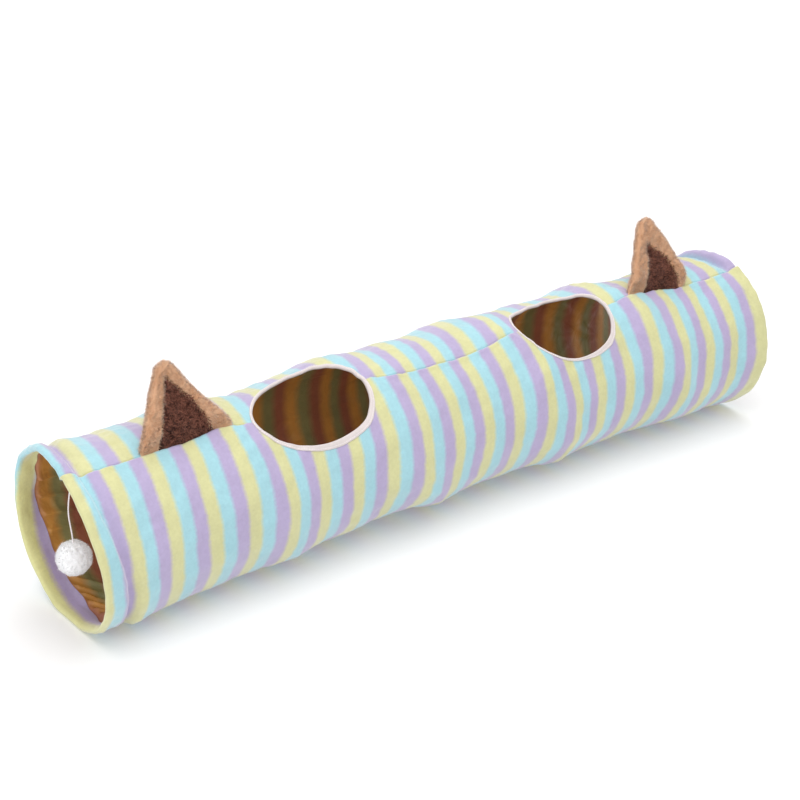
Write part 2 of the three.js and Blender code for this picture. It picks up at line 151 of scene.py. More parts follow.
# The two holes: a centre on the cloth and the points of a smooth closed edge round it, what is
# filled round it, the tape's width by the angle round the centre, and the ends along X
HOLES = {
    "left": {
        "centre": (-0.226, 21.5),
        "edge": ((-0.0980, 4), (-0.0815, 20), (-0.032, 31.8), (0.022, 32.2), (0.064, 24.5),
                 (0.086, 3), (0.076, -17), (0.034, -33), (-0.014, -30.5), (-0.060, -19.5)),
        "patch": (-0.350, -0.102, 52.0),
        "tape": ((0, 0.0042), (45, 0.0080), (80, 0.0092), (135, 0.0062), (180, 0.0034), (250, 0.0036)),
        "ends": (-0.324, -0.140),
    },
    "right": {
        "centre": (0.243, 26.0),
        "edge": ((-0.0975, -6), (-0.084, 10.5), (-0.056, 22.5), (-0.022, 26.8), (0.024, 24.5), (0.060, 14.5),
                 (0.080, -8), (0.066, -26), (0.026, -33), (-0.024, -31.5), (-0.081, -22.5)),
        "patch": (0.128, 0.358, 52.0),
        "tape": ((0, 0.0036), (45, 0.0082), (75, 0.0066), (95, 0.0046), (135, 0.0031), (250, 0.0032)),
        "ends": (0.145, 0.323),
    },
}
OUTLINE_DENSE = 40
MEAN_SAG = 0.008
ARC = math.radians(1) * (RING_RADIUS - MEAN_SAG)

CAMERA = {
    "place": (-1.4852, -1.8074, 1.2665),
    "azimuth": -38.613,
    "elevation": 25.431,
    "roll": 1.203,
    "lens": 80.6,
    "sensor": 36.0,
}


def srgb(red, green, blue):
    """Linear colour of an ordinary screen colour from 0 to 255."""
    def linear(value):
        share = value / 255
        return share / 12.92 if share <= 0.04045 else ((share + 0.055) / 1.055) ** 2.4
    return (linear(red), linear(green), linear(blue), 1.0)


# Shape of the cloth

def ease(share):
    share = np.clip(share, 0, 1)
    return share * share * (3 - 2 * share)


def from_table(rows, column, x):
    """Value at x of one column of a table with rows at rising x, eased between the rows."""
    places = rows[:, 0]
    k = np.clip(np.searchsorted(places, x), 1, len(places) - 1)
    share = ease((x - places[k - 1]) / (places[k] - places[k - 1]))
    return rows[k - 1, column] * (1 - share) + rows[k, column] * share


def bell(value, reach):
    return np.exp(-((value / reach) ** 2))


def unit(vectors):
    return vectors / np.linalg.norm(vectors, axis=-1, keepdims=True)


def turn_between(deg, other):
    """Smallest signed turn between two angles."""
    return (deg - other + 540) % 360 - 180


def ripples(places, size, seed, count=24):
    """Smooth unevenness of about unit height, whose waves are about size across."""
    random = np.random.default_rng(seed)
    ways = unit(random.normal(size=(count, places.shape[-1])))
    ways *= (2 * math.pi / size) * random.uniform(0.6, 1.5, (count, 1))
    phases = random.uniform(0, 2 * math.pi, count)
    total = np.zeros(places.shape[:-1])
    for way, phase in zip(ways, phases):
        total += np.sin(places @ way + phase)
    return total / math.sqrt(count / 2)


KNOT_TURNED = np.array([deg + 360 * turn for turn in range(len(TURNS)) for deg in CROSSING_DEG])
KNOT_X = np.array(TURNS).ravel()


def through_knots(places, values, at):
    """Smooth curve through values at rising places."""
    index = np.arange(len(values))
    before, after = np.maximum(index - 1, 0), np.minimum(index + 1, len(values) - 1)
    slopes = (values[after] - values[before]) / (places[after] - places[before])
    k = np.clip(np.searchsorted(places, at), 1, len(values) - 1)
    span = places[k] - places[k - 1]
    t = (at - places[k - 1]) / span
    weight = (1 + 2 * t) * (1 - t) ** 2
    pull = t * (1 - t) ** 2 * span * slopes[k - 1] + t * t * (t - 1) * span * slopes[k]
    return weight * values[k - 1] + (1 - weight) * values[k] + pull


def spiral_x(turned):
    """Place of the spiral along X, over the angle turned since it first crossed the top."""
    return through_knots(KNOT_TURNED, KNOT_X, turned)


def rim_x(side, deg):
    rim = RIMS[side]
    leant = rim["lean"] * (1 - np.cos(np.radians(deg - rim["highest_deg"]))) / 2
    warped = rim["warp"] * (1 - np.sin(np.radians(2 * deg))) / 2
    return side * (HALF_LENGTH - leant - warped)


def axis_y(x):
    return BOW * (1 - (x / HALF_LENGTH) ** 2) - BOW_SHIFT


def beside_ridges(x, deg):
    """Distances to the wire on the left and on the right of a place on the cloth."""
    first, last = rim_x(-1, deg) + WIRE_INSET, rim_x(1, deg) - WIRE_INSET
    after = np.where(x >= first, x - first, 0.0)
    before = np.where(x <= last, last - x, 0.0)
    for turn in range(-1, len(TURNS) + 1):
        turned = deg + 360 * turn
        crossing = spiral_x(np.clip(turned, KNOT_TURNED[0], KNOT_TURNED[-1]))
        there = (turned >= KNOT_TURNED[0]) & (turned <= KNOT_TURNED[-1])
        there &= (crossing > first) & (crossing < last)
        after = np.where(there & (x >= crossing), np.minimum(after, x - crossing), after)
        before = np.where(there & (x < crossing), np.minimum(before, crossing - x), before)
    return after, before


def crease_depth(x, deg):
    """How far the creases beside the rims draw the cloth in."""
    total = 0.0
    for side, at_top, growth, towards_rim, away, degrees, depths in CREASES:
        lower = growth * ease(np.abs(turn_between(deg, 0.0)) / CREASE_LOW)
        inwards = (rim_x(side, deg) - x) * side - at_top - lower
        drawn = np.interp(deg, degrees, depths, period=360)
        total = total + drawn * bell(inwards, np.where(inwards < 0, towards_rim, away))
    return total


def seam_deg(x):
    return from_table(SEAM, 1, x)


def seam_offset(x, deg):
    """Distance round the cloth from the seam, positive in front of it."""
    return turn_between(deg, seam_deg(x)) * ARC


# Small forms: heights first, then where they lie and how far they reach
WIRE_RIDGE = (0.0010, 0.0045)
SEAM_LIP = (0.0014, 0.0040, 0.0040)
SEAM_GROOVE = (0.0026, 0.0014)
SEAM_VALLEY = (0.0018, 0.0100)
SEAM_CLEAR = (0.008, 0.014)
SEAM_GATHER = (0.0004, 0.015, 0.018)
SOFT_WAVES = ((0.0010, 0.085, 3), (0.0004, 0.024, 5))
WAVE_RADIUS = 0.12


def seam_relief(x, deg):
    """The front edge of the cloth stands proud of the back one, with a groove between them."""
    away = seam_offset(x, deg)
    lip = SEAM_LIP[0] * bell(away - SEAM_LIP[1], SEAM_LIP[2]) * (away >= 0)
    valley = SEAM_VALLEY[0] * bell(away, SEAM_VALLEY[1]) * (away < 0)
    height = lip - valley - SEAM_GROOVE[0] * bell(away, SEAM_GROOVE[1])
    for hole in HOLES.values():
        start, end = hole["ends"]
        clear = np.maximum(start - x, x - end) - SEAM_CLEAR[0]
        height = height * ease(clear / SEAM_CLEAR[1])
    return height


def round_tunnel(x, deg):
    """Places for unevenness that meets itself all round."""
    turned = np.radians(deg)
    return np.stack([x, WAVE_RADIUS * np.sin(turned), WAVE_RADIUS * np.cos(turned)], -1)


def soft_relief(x, deg):
    """Small forms on the cloth: wire under it, gathers and soft unevenness."""
    after, before = beside_ridges(x, deg)
    height = WIRE_RIDGE[0] * bell(np.minimum(after, before), WIRE_RIDGE[1])
    gathers = ripples(np.stack([x, 0 * x], -1), SEAM_GATHER[1], 11)
    height = height + SEAM_GATHER[0] * gathers * bell(seam_offset(x, deg), SEAM_GATHER[2])
    for size, wave, seed in SOFT_WAVES:
        height = height + size * ripples(round_tunnel(x, deg), wave, seed)
    return height


def smooth_radius(x, deg):
    """Outer radius of the cloth without its small forms."""
    towards_top = (1 + np.cos(np.radians(deg - SAG_TOP_DEG))) / 2
    sag = from_table(SAGS, 1, x) * (1 - towards_top) + from_table(SAGS, 2, x) * towards_top
    after, before = beside_ridges(x, deg)
    after, before = np.maximum(after, 0), np.maximum(before, 0)
    drawn_in = 1 - np.exp(-((after / SAG_AFTER[0]) ** SAG_AFTER[1]))
    drawn_in = drawn_in * (1 - np.exp(-((before / SAG_BEFORE[0]) ** SAG_BEFORE[1])))
    radius = RING_RADIUS - sag * drawn_in
    for at_x, at_deg, height, along_x, along_deg in SWELLINGS:
        radius = radius + height * bell(x - at_x, along_x) * bell(turn_between(deg, at_deg), along_deg)
    return radius - crease_depth(x, deg)


def cloth_point(x, deg, depth=0.0, seam=1.0):
    """A point on the cloth or under it; the underside is pressed flat on the floor."""
    x, deg = np.broadcast_arrays(np.asarray(x, float), np.asarray(deg, float))
    radius = smooth_radius(x, deg) + soft_relief(x, deg) + seam * seam_relief(x, deg) - depth
    turned = np.radians(deg)
    height = np.maximum(AXIS_HEIGHT + radius * np.cos(turned), depth)
    return np.stack([x, axis_y(x) - radius * np.sin(turned), height], -1)


# The stripes

def stripe_phase(x, deg):
    """Place in the stripes: a whole number where a yellow one begins. deg runs on past 360."""
    k = np.clip(np.searchsorted(STRIPE_DEG, deg), 1, len(STRIPE_DEG) - 1)
    low, high = STRIPE_DEG[k - 1], STRIPE_DEG[k]
    share = np.clip((deg - low) / (high - low), 0, 1)
    share = np.where(k < len(STRIPE_DEG) - 1, ease(share), share)
    starts = STRIPE_STARTS[:, k - 1] * (1 - share) + STRIPE_STARTS[:, k] * share
    under = np.where(deg > STRIPE_DEG[3], rim_x(-1, deg) - (
        rim_x(-1, low) * (1 - share) + rim_x(-1, high) * share), 0.0)
    fade = ease((starts - RIM_FOLLOWED["to"]) / RIM_FOLLOWED["fades"])
    behind = np.where(deg > STRIPE_DEG[3], np.sin(math.pi * share), 0.0)
    middle = ease((starts - SLACK_BEHIND["from"]) / SLACK_BEHIND["fades"])
    middle = middle * ease((SLACK_BEHIND["to"] - starts) / SLACK_BEHIND["fades"])
    starts = starts + under * fade + SLACK_BEHIND["most"] * behind * middle
    k = np.clip((starts <= x).sum(0), 1, len(starts) - 1)
    index = np.arange(len(x))
    before, after = starts[k - 1, index], starts[k, index]
    return k - 1 + (x - before) / (after - before)


# Meshes

def add_object(name, data):
    piece = bpy.data.objects.new(name, data)
    bpy.context.scene.collection.objects.link(piece)
    return piece


def mesh_object(name, points, faces, material):
    mesh = bpy.data.meshes.new(name)
    mesh.from_pydata([tuple(point) for point in points], [], [tuple(face) for face in faces])
    mesh.validate()
    mesh.materials.append(material)
    mesh.shade_smooth()
    return add_object(name, mesh)


def set_attribute(piece, name, domain, values):
    attribute = piece.data.attributes.new(name, "FLOAT", domain)
    attribute.data.foreach_set("value", np.asarray(values, np.float32).ravel())


def grid_faces(rows, columns, start=0, closed=True, flipped=False, looped=False, capped=False):
    """Faces between rows of points. Closed rows are rings, looped ones end at the first row, and
    capped ones have a face over both ends. Flipped faces look the other way."""
    faces = []
    for row in range(rows if looped else rows - 1):
        here, above = start + row * columns, start + (row + 1) % rows * columns
        for k in range(columns if closed else columns - 1):
            after = (k + 1) % columns
            quad = (here + k, above + k, above + after, here + after)
            faces.append(quad[:1] + quad[:0:-1] if flipped else quad)
    if capped:
        last = start + (rows - 1) * columns
        ends = [tuple(range(start, start + columns)), tuple(range(last, last + columns))]
        faces += [ends[0][::-1], ends[1]] if flipped else [ends[0], ends[1][::-1]]
    return faces


def on_body(piece, slot, *nodes):
    """The piece rides on the one body and stands for some nodes, which are hidden. The slot is not used."""
    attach(piece, "root")
    if nodes:
        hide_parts(*nodes)
    return piece


def surface_spots(piece, faces, count, random):
    """Random places on some faces of a piece, evenly over their area, and the normals there."""
    mesh = piece.data
    coordinates = np.empty(len(mesh.vertices) * 3)
    mesh.vertices.foreach_get("co", coordinates)
    coordinates = coordinates.reshape(-1, 3)
    quads = np.array([list(mesh.polygons[k].vertices)[:4] for k in faces])
    a, b, c, d = (coordinates[quads[:, k]] for k in range(4))
    normals = np.cross(c - a, d - b)
    areas = np.linalg.norm(normals, axis=1) + 1e-12
    picked = random.choice(len(faces), count, p=areas / areas.sum())
    u, v = random.uniform(size=(2, count, 1))
    a, b, c, d = (corner[picked] for corner in (a, b, c, d))
    spots = (a * (1 - u) + b * u) * (1 - v) + (d * (1 - u) + c * u) * v
    return spots, (normals / areas[:, None])[picked]


TUFT = {"lengths": (0.65, 1.15), "widths": (0.7, 1.2), "bends": (0.1, 0.5), "rooted": 0.15,
        "middle": 0.6, "taper": 0.8, "own_light": 0.25}


def add_tufts(name, piece, faces, style, slot, random):
    """Short bent tufts that stand on some faces of a piece, each with a tone of its own."""
    count = style["count"]
    spots, normals = surface_spots(piece, faces, count, random)
    leaning = random.normal(size=(count, 3))
    way = unit(normals + leaning * style["tilt"] / math.sqrt(3))
    side = unit(np.cross(way, random.normal(size=(count, 3))))
    # The outer face of each tuft looks away from the surface
    side *= np.where((np.cross(side, way) * normals).sum(1) < 0, -1, 1)[:, None]
    bend = np.cross(way, side)
    size = style["length"] * random.uniform(*TUFT["lengths"], (count, 1))
    half = style["width"] / 2 * random.uniform(*TUFT["widths"], (count, 1))
    root = spots - normals * TUFT["rooted"] * size
    middle = root + way * TUFT["middle"] * size
    tip = root + way * size + bend * size * random.uniform(*TUFT["bends"], (count, 1))
    narrow = side * half * TUFT["taper"]
    corners = [root - side * half, root + side * half, middle + narrow, middle - narrow, tip]
    points = np.stack(corners, 1).reshape(-1, 3)
    start = 5 * np.arange(count)
    blades = [(k, k + 1, k + 2, k + 3) for k in start] + [(k + 3, k + 2, k + 4) for k in start]
    tufts = mesh_object(name, points, blades, piece.data.materials[0])
    # Tufts are lit like the surface they stand on, as dense pile is
    soft = unit(normals + TUFT["own_light"] * way)
    tufts.data.normals_split_custom_set_from_vertices(np.repeat(soft, 5, axis=0).tolist())
    set_attribute(tufts, "tone", "POINT", np.repeat(random.uniform(0, 1, count), 5))
    on_body(tufts, slot)


def hole_outline(hole, count, margin=0.0):
    """Evenly spaced places round a hole's edge as x and degrees, moved outwards by a margin."""
    centre_x, centre_deg = hole["centre"]
    control = np.array([(centre_x + x, (centre_deg + deg) * ARC) for x, deg in hole["edge"]])

    def mix(a, b, start, end, t):
        return ((end - t) * a + (t - start) * b) / (end - start)

    dense = []
    for k in range(len(control)):
        p = [control[(k + shift) % len(control)] for shift in (-1, 0, 1, 2)]
        knots = np.cumsum([0.0] + [np.linalg.norm(b - a) ** 0.5 for a, b in zip(p, p[1:])])
        for t in np.linspace(knots[1], knots[2], OUTLINE_DENSE, endpoint=False):
            first = [mix(p[i], p[i + 1], knots[i], knots[i + 1], t) for i in range(3)]
            second = [mix(first[i], first[i + 1], knots[i], knots[i + 2], t) for i in range(2)]
            dense.append(mix(*second, knots[1], knots[2], t))
    dense = np.array(dense + dense[:1])
    along = np.concatenate([[0], np.cumsum(np.linalg.norm(np.diff(dense, axis=0), axis=1))])
    wanted = np.linspace(0, along[-1], count, endpoint=False)
    places = np.stack([np.interp(wanted, along, dense[:, axis]) for axis in (0, 1)], -1)
    tangent = unit(np.roll(places, -1, 0) - np.roll(places, 1, 0))
    outwards = np.stack([-tangent[:, 1], tangent[:, 0]], -1)
    places = places + outwards * margin
    return places[:, 0], places[:, 1] / ARC


# Round each hole: points of its edge, and how much wider the first rings of faces are
HOLE_POINTS = 720
RING_SPACING = 0.85
# Depths from which and over which the cloth counts as the inside
INSIDE = (0.004, 0.003)


class TubeGrid:
    """Points and faces of a tube of cloth whose columns start and end at the seam."""

    def __init__(self, columns, tightness, depth):
        share = np.arange(columns) / columns
        self.turned = 360 * (share - tightness * np.sin(2 * math.pi * share) / (2 * math.pi))
        self.columns = columns
        self.patch_depth = depth
        self.x, self.deg, self.depth, self.along = [], [], [], []
        self.faces, self.at_back = [], []
        self.count = 0
        self.mouths = [seam_deg(x) + self.turned for x in (-HALF_LENGTH, HALF_LENGTH)]

    def add_points(self, x, deg, depth, along):
        """Points at places along X, degrees, depths under the surface and places in the flat cloth.
        Returns their numbers."""
        self.x.append(x)
        self.deg.append(deg)
        self.depth.append(depth * np.ones(len(x)))
        self.along.append(along)
        self.count += len(x)
        return np.arange(self.count - len(x), self.count)

    def add_row(self, x, depth, along):
        """One row all round, whose values are arrays over the columns."""
        return self.add_points(x, seam_deg(x) + self.turned, depth, along)

    def join_rows(self, row, after, skip):
        """Faces between two rows, apart from the columns in skip."""
        for j in range(self.columns):
            if j not in skip:
                k = (j + 1) % self.columns
                self.faces.append((row[j], row[k], after[k], after[j]))
                self.at_back.append(j >= self.columns // 2)

    def join(self, rows, among, rings):
        """Joins all rows, with the holes in windows between some of them."""
        skipped = {}
        places = [float(np.mean(self.x[k])) for k in among]
        for hole in HOLES.values():
            low, high, reach = hole["patch"]
            inside = [k for k, place in zip(among, places) if low <= place <= high]
            columns = self.patch([rows[k] for k in inside], hole, reach, rings)
            skipped.update({k: columns for k in inside[:-1]})
        for k in range(len(rows) - 1):
            self.join_rows(rows[k], rows[k + 1], skipped.get(k, ()))

    def patch(self, rows, hole, reach, rings):
        """Fills the window between two rows with faces that run round a hole's edge, first in
        front of the seam and then behind it. Returns the window's columns."""
        low = max(j for j in range(self.columns) if self.turned[j] <= reach)
        high = min(j for j in range(self.columns) if self.turned[j] >= 360 - reach)
        x_all, deg_all = np.concatenate(self.x), np.concatenate(self.deg)
        centre_x = hole["centre"][0]
        outline_x, outline_deg = hole_outline(hole, HOLE_POINTS)
        outline_y = (outline_deg - seam_deg(outline_x)) * ARC
        angle = np.arctan2(outline_y, outline_x - centre_x)
        radius = np.hypot(outline_y, outline_x - centre_x)
        seam_points = []
        for back in (False, True):
            columns = range(self.columns - 1, high - 1, -1) if back else range(1, low + 1)
            border = [rows[0][0]] + [rows[0][j] for j in columns]
            border += [row[columns[-1]] for row in rows[1:-1]]
            border += [rows[-1][j] for j in reversed(columns)] + [rows[-1][0]]
            x = x_all[border]
            turn = deg_all[border] - seam_deg(x)
            y = np.where(turn > 180, turn - 360, turn) * ARC
            around = np.arctan2(y, x - centre_x)
            if back:
                around = np.where(around > math.pi / 2, around - 2 * math.pi, around)
            around[[0, -1]] = -math.pi if back else math.pi, 0.0
            edge = np.interp(around, angle, radius, period=2 * math.pi)
            edge_x, edge_y = centre_x + edge * np.cos(around), edge * np.sin(around)
            if back:
                edge_y = -np.abs(edge_y)
            edge_y[[0, -1]] = 0.0
            loops = [border]
            for ring in range(rings):
                share = ((ring + 1) / rings) ** RING_SPACING
                own = slice(1, -1) if back else slice(None)
                ring_x = (x + (edge_x - x) * share)[own]
                ring_deg = seam_deg(ring_x) + (y + (edge_y - y) * share)[own] / ARC
                loop = self.add_points(ring_x, ring_deg + 360 * back, self.patch_depth, ring_x)
                if back:
                    loop = np.concatenate([seam_points[ring][:1], loop, seam_points[ring][1:]])
                else:
                    seam_points.append(loop[[0, -1]])
                loops.append(loop)
            for outer, inner in zip(loops, loops[1:]):
                for k in range(len(outer) - 1):
                    quad = (outer[k], outer[k + 1], inner[k + 1], inner[k])
                    self.faces.append(quad[::-1] if back else quad)
                    self.at_back.append(back)
        return set(range(0, low)) | set(range(high, self.columns))

    def build(self, name, material, shape):
        """The finished object. shape turns x, degrees and depth into points."""
        lists = (self.x, self.deg, self.depth, self.along)
        x, deg, depth, along = (np.concatenate(values) for values in lists)
        piece = mesh_object(name, shape(x, deg, depth), self.faces, material)
        front = stripe_phase(along, deg)
        at_seam = np.abs(deg - seam_deg(x)) < 1e-6
        back = np.where(at_seam, stripe_phase(along, deg + 360), front)
        corners = np.array(self.faces)
        phases = np.where(np.array(self.at_back)[:, None], back[corners], front[corners])
        set_attribute(piece, "stripe", "CORNER", phases)
        # The plush's painted hem glow follows this share
        set_attribute(piece, "inside", "POINT", ease((depth - INSIDE[0]) / INSIDE[1]))
        return piece


# Materials

def new_material(name, roughness, **sockets):
    material = bpy.data.materials.new(name)
    material.use_nodes = True
    shader = material.node_tree.nodes["Principled BSDF"]
    shader.inputs["Roughness"].default_value = roughness
    for socket, value in sockets.items():
        shader.inputs[socket.replace("_", " ")].default_value = value
    return material, material.node_tree, shader


def add_node(tree, kind, inputs=None, **settings):
    node = tree.nodes.new(kind)
    for key, value in settings.items():
        setattr(node, key, value)
    for socket, value in (inputs or {}).items():
        if isinstance(value, bpy.types.NodeSocket):
            tree.links.new(value, node.inputs[socket])
        else:
            node.inputs[socket].default_value = value
    return node


def noise_of(tree, size, detail=3.0, roughness=0.5, distortion=0.0):
    """Noise whose blobs are about size across."""
    place = add_node(tree, "ShaderNodeTexCoord").outputs["Object"]
    return add_node(tree, "ShaderNodeTexNoise", {
        "Vector": place, "Scale": 1 / size, "Detail": detail, "Roughness": roughness,
        "Distortion": distortion}).outputs["Fac"]


def attribute_of(tree, name):
    return add_node(tree, "ShaderNodeAttribute", attribute_name=name).outputs["Fac"]


def calculate(tree, operation, first, second=0.0):
    return add_node(tree, "ShaderNodeMath", {0: first, 1: second}, operation=operation).outputs[0]


def scaled(tree, value, low, high):
    """Noise from 0 to 1 turned into a factor from low to high."""
    node = add_node(tree, "ShaderNodeMapRange", {
        "Value": value, "From Min": 0.25, "From Max": 0.75, "To Min": low, "To Max": high})
    return node.outputs["Result"]


def tinted(tree, colour, factor):
    node = add_node(tree, "ShaderNodeVectorMath", {0: colour, "Scale": factor}, operation="SCALE")
    return node.outputs["Vector"]


def paint(tree, shader, colour, glow=0.0):
    """The colour of a surface, and a painted glow in that colour that stands in for the light that scatters
    in it or comes through it.
    """
    tree.links.new(colour, shader.inputs["Base Color"])
    if glow:
        tree.links.new(colour, shader.inputs["Emission Color"])
        shader.inputs["Emission Strength"].default_value = glow


def bump_on(tree, shader, height, strength, distance, below=None):
    inputs = {"Height": height, "Strength": strength, "Distance": distance}
    if below:
        inputs["Normal"] = below
    normal = add_node(tree, "ShaderNodeBump", inputs).outputs["Normal"]
    tree.links.new(normal, shader.inputs["Normal"])
    return normal


def striped(tree, colours, softness, raggedness):
    """Three colours that take turns along the stripe attribute, with soft, ragged edges."""
    ragged = calculate(tree, "SUBTRACT", noise_of(tree, 0.0026), 0.5)
    ragged = calculate(tree, "MULTIPLY", ragged, raggedness)
    phase = calculate(tree, "ADD", attribute_of(tree, "stripe"), ragged)
    ramp = add_node(tree, "ShaderNodeValToRGB", {"Fac": calculate(tree, "FRACT", phase)})
    mixed = tuple((a + b) / 2 for a, b in zip(colours[-1], colours[0]))
    stops = [(0.0, mixed)]
    for index, colour in enumerate(colours):
        stops += [(index / 3 + softness, colour), ((index + 1) / 3 - softness, colour)]
    stops.append((1.0, mixed))
    elements = ramp.color_ramp.elements
    while len(elements) < len(stops):
        elements.new(0.5)
    for element, (place, colour) in zip(elements, stops):
        element.position = place
        element.color = colour
    return ramp.outputs["Color"]


YELLOW, BLUE, LILAC = srgb(206, 204, 153), srgb(161, 204, 213), srgb(177, 164, 197)
# Strength of the painted glow on the turned-in hems
HEM_GLOW = 0.30


def plush_material():
    material, tree, shader = new_material(
        "striped_plush", 0.95, Sheen_Weight=0.8, Sheen_Roughness=0.40, Specular_IOR_Level=0.1)
    colour = striped(tree, (YELLOW, BLUE, LILAC), softness=0.048, raggedness=0.08)
    broad = scaled(tree, noise_of(tree, 0.035, detail=2.0), 0.95, 1.03)
    fine = scaled(tree, noise_of(tree, 0.0045, roughness=0.65), 0.94, 1.05)
    colour = tinted(tree, colour, calculate(tree, "MULTIPLY", broad, fine))
    paint(tree, shader, colour)
    # The turned-in hems have no film over them: a painted glow there, in the plush's colour, stands in for
    # the light that comes through the plush
    through = add_node(tree, "ShaderNodeVectorMath", {0: colour, 1: colour}, operation="MULTIPLY")
    tree.links.new(through.outputs["Vector"], shader.inputs["Emission Color"])
    glow = calculate(tree, "MULTIPLY", attribute_of(tree, "inside"), HEM_GLOW)
    tree.links.new(glow, shader.inputs["Emission Strength"])
    nap = bump_on(tree, shader, noise_of(tree, 0.005, detail=2.0), strength=0.25, distance=0.0012)
    fibres = noise_of(tree, 0.0011, roughness=0.7)
    bump_on(tree, shader, fibres, strength=0.5, distance=0.0006, below=nap)
    return material


AMBER, OLIVE, RUST = srgb(194, 140, 70), srgb(134, 130, 86), srgb(152, 94, 72)


def film_material():
    """A painted glow in the film's colour stands in for some of the light outside that comes through the
    cloth and the film.
    """
    material, tree, shader = new_material("lining_film", 0.46, Specular_IOR_Level=0.45)
    colour = striped(tree, (AMBER, OLIVE, RUST), softness=0.100, raggedness=0.05)
    # Broad lighter and darker blotches: painted light and shade of the film's crinkles
    broad = scaled(tree, noise_of(tree, 0.04), 0.84, 1.12)
    paint(tree, shader, tinted(tree, colour, broad), glow=0.10)
    crinkle = noise_of(tree, 0.022, distortion=0.8)
    bump_on(tree, shader, crinkle, strength=0.6, distance=0.004)
    return material


def cotton_material(name, colour, sheen, glow, cloud, grain, relief):
    """Tape, string or loose yarn, with clouds of tone, a fine grain and a painted glow that stands in for
    light scattered in the yarn.
    """
    material, tree, shader = new_material(name, 0.9, Sheen_Weight=sheen)
    fine = scaled(tree, noise_of(tree, cloud), 0.96, 1.02)
    paint(tree, shader, tinted(tree, colour[:3], fine), glow)
    bump_on(tree, shader, noise_of(tree, grain, detail=2.0), strength=relief, distance=0.0003)
    return material


def fur_material(name, dark, light, cloud, sheen, glow):
    """Plush whose tone is mixed of noise and the tone of each single tuft, with a painted glow that stands
    in for light coming through the hairs.
    """
    material, tree, shader = new_material(name, 0.95, Sheen_Weight=sheen, Specular_IOR_Level=0.1)
    clouds = scaled(tree, noise_of(tree, cloud, roughness=0.6), -0.30, 0.30)
    tone = calculate(tree, "ADD", attribute_of(tree, "tone"), clouds)
    ramp = add_node(tree, "ShaderNodeValToRGB", {"Fac": tone})
    ramp.color_ramp.elements[0].color = dark
    ramp.color_ramp.elements[1].color = light
    paint(tree, shader, ramp.outputs["Color"], glow)
    bump_on(tree, shader, noise_of(tree, 0.0014, roughness=0.7), strength=0.4, distance=0.0010)
    return material


def floor_material():
    """A little light comes up through the floor, which keeps the shadow pale."""
    material, _, shader = new_material("pale_floor", 0.9, Emission_Strength=0.14)
    shader.inputs["Base Color"].default_value = srgb(236, 236, 237)
    shader.inputs["Emission Color"].default_value = (1, 1, 1, 1)
    return material


# Camera, light and floor

def make_camera():
    azimuth, elevation, roll = (math.radians(CAMERA[key]) for key in ("azimuth", "elevation", "roll"))
    back = Vector((math.sin(azimuth) * math.cos(elevation), -math.cos(azimuth) * math.cos(elevation),
                   math.sin(elevation)))
    level = Vector((0, 0, 1)).cross(back).normalized()
    upright = back.cross(level)
    right = level * math.cos(roll) + upright * math.sin(roll)
    up = upright * math.cos(roll) - level * math.sin(roll)
    data = bpy.data.cameras.new("camera")
    data.lens = CAMERA["lens"]
    data.sensor_width = CAMERA["sensor"]
    camera = add_object("camera", data)
    turn = Matrix((right, up, back)).transposed().to_4x4()
    camera.matrix_world = Matrix.Translation(CAMERA["place"]) @ turn
    bpy.context.scene.camera = camera


# Name, place, the place it shines at, size and power
LIGHTS = (
    ("overhead", (-0.2, -0.3, 2.6), (0.0, 0.0, 0.0), 3.4, 67.0),
    ("front", (-2.2, -2.6, 1.8), (0.0, 0.0, 0.1), 2.4, 14.0),
    ("side", (-3.0, -0.5, 1.0), (-0.6, 0.0, 0.1), 1.6, 12.0),
    ("far", (2.0, 2.8, 2.3), (2.0, 2.8, 0.0), 3.0, 46.0),
)
WORLD_STRENGTH = 0.57


def make_light():
    for name, place, aim, size, power in LIGHTS:
        data = bpy.data.lights.new(name, "AREA")
        data.size = size
        data.energy = power
        lamp = add_object(name, data)
        lamp.location = place
        lamp.rotation_mode = "QUATERNION"
        lamp.rotation_quaternion = (Vector(aim) - Vector(place)).to_track_quat("-Z", "Y")
    world = bpy.data.worlds.new("world")
    world.use_nodes = True
    background = world.node_tree.nodes["Background"]
    background.inputs["Color"].default_value = (1, 1, 1, 1)
    background.inputs["Strength"].default_value = WORLD_STRENGTH
    bpy.context.scene.world = world
    bpy.context.scene.view_settings.view_transform = "Standard"


def make_floor(size=8.0):
    corners = [(-size, -size, 0), (size, -size, 0), (size, size, 0), (-size, size, 0)]
    mesh_object("floor", corners, [(0, 1, 2, 3)], floor_material())


# The pompom's string, whose section has a waist between its two plies. It goes on into the ball

POMPOM = Vector((-0.574, -0.0055, 0.0938))
POMPOM_CORE = 0.017
STRING = {"radius": 0.001, "sway": 0.0035, "phase": 0.6, "points": 40, "root": 0.002,
          "clear": 0.0012, "steps": 6, "sides": 14, "waist": 0.80, "pitch": 0.006}


def string_route():
    top = AXIS_HEIGHT + smooth_radius(np.array(POMPOM.x), np.array(0.0)) - HEM - STRING["clear"]
    end = POMPOM.z + POMPOM_CORE + STRING["root"]
    route = []
    for k in range(STRING["points"] + 1):
        t = k / STRING["points"]
        sway = STRING["sway"] * math.sin(math.pi * t) * math.sin(2 * math.pi * t + STRING["phase"])
        route.append(Vector((POMPOM.x + sway, POMPOM.y, top + (end - top) * t)))
    return route


